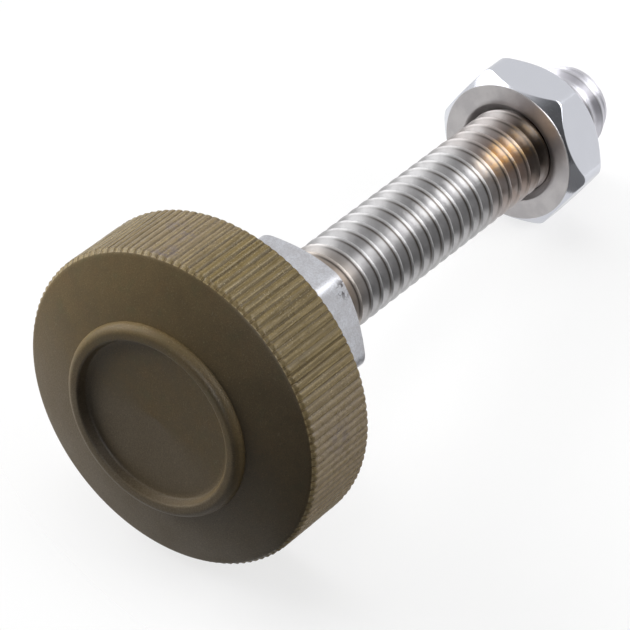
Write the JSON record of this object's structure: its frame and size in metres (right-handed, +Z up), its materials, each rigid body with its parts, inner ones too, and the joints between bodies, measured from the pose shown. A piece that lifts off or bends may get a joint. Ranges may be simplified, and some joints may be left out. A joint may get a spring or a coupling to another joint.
{
  "type": "hold-down screw",
  "caption": "Thumb screw with a ribbed round knob, a hex collar, a threaded stud and a thin hex lock nut, for clamping by hand.",
  "frame": {"origin": "centre of the bounding box in plan, on the surface that the screw lies on", "axes": "+X along the screw from the knob to the free end of the stud, seen from above; +Z up; the screw's axis lies in the XZ plane and dips towards +X"},
  "size_m": [0.0596, 0.0268, 0.0276],
  "materials": {
    "knob": "satin olive-brown moulded plastic, dusty and worn on the ribs",
    "collar": "fine-grained dull plated steel",
    "stud": "bright zinc-plated rolled thread with brown stains",
    "nut": "zinc-plated steel, scuffed on the end face"
  },
  "bodies": {
    "screw": {"knob": "knob", "collar": "collar", "stud": "stud"},
    "nut": {"nut": "nut"}
  },
  "joints": [
    {"name": "nut_travel", "type": "slide", "parent": "screw", "child": "nut", "axis": [0.9867, 0, -0.1628], "range_m": [-0.02963, 0.00564]}
  ]
}
